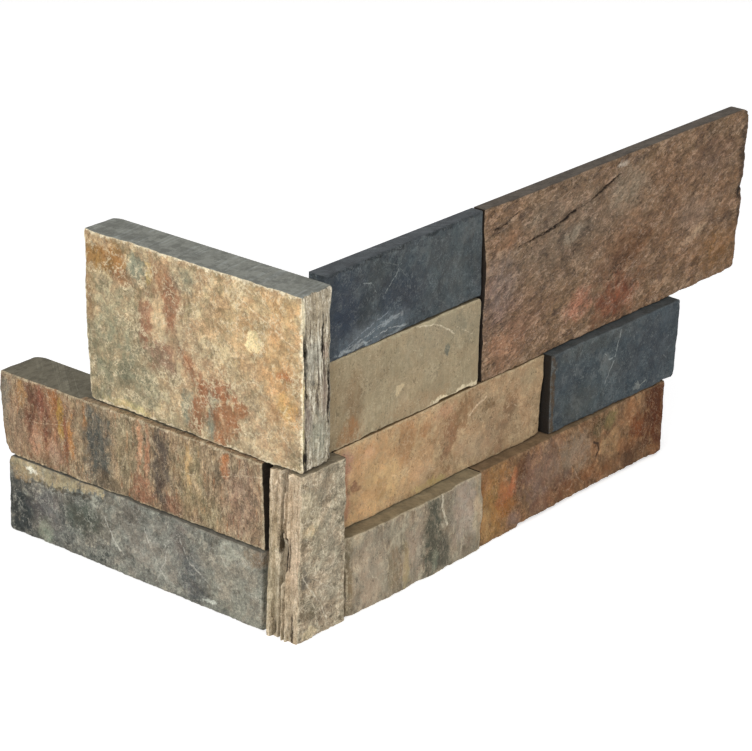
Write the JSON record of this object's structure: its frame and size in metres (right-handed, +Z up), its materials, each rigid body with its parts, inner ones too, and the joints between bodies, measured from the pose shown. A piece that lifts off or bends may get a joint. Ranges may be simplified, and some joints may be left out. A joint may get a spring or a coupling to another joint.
{
  "type": "stone cladding corner piece",
  "caption": "L-shaped outer corner of split natural slate strips bonded in interlocking courses, sawn beds and backs, rough split faces.",
  "frame": {"origin": "middle of the underside of the box round the whole piece, on the surface that it stands on", "axes": "+X along the long leg away from the corner, +Y along the short leg away from the corner, +Z up; the split faces look towards -Y and -X"},
  "size_m": [0.3274, 0.1742, 0.1524],
  "materials": {
    "corner_slab": "split face, beige with gold and rust stains, sawn grey top, broken layered end",
    "corner_block": "split face, grey-khaki, broken layered end",
    "short_leg_grey_strip": "split face, mottled grey with a beige patch",
    "short_leg_brown_strip": "split face, brown with upright rust streaks",
    "long_leg_olive_strip": "smooth split face, olive-khaki",
    "long_leg_dark_strip": "split face, blue-charcoal with pale scratches",
    "long_leg_red_slab": "coarse split face, red-brown",
    "long_leg_tan_strip": "smooth split face, orange-tan to khaki",
    "long_leg_blue_strip": "split face, dark blue-grey with pale scratches",
    "long_leg_khaki_strip": "split face, grey-khaki with upright bands",
    "long_leg_rust_strip": "split face, rust, mauve-brown and golden brown"
  },
  "bodies": {
    "root": {"corner_slab": "corner_slab", "corner_block": "corner_block", "short_leg_grey_strip": "short_leg_grey_strip", "short_leg_brown_strip": "short_leg_brown_strip", "long_leg_olive_strip": "long_leg_olive_strip", "long_leg_dark_strip": "long_leg_dark_strip", "long_leg_red_slab": "long_leg_red_slab", "long_leg_tan_strip": "long_leg_tan_strip", "long_leg_blue_strip": "long_leg_blue_strip", "long_leg_khaki_strip": "long_leg_khaki_strip", "long_leg_rust_strip": "long_leg_rust_strip"}
  },
  "joints": []
}
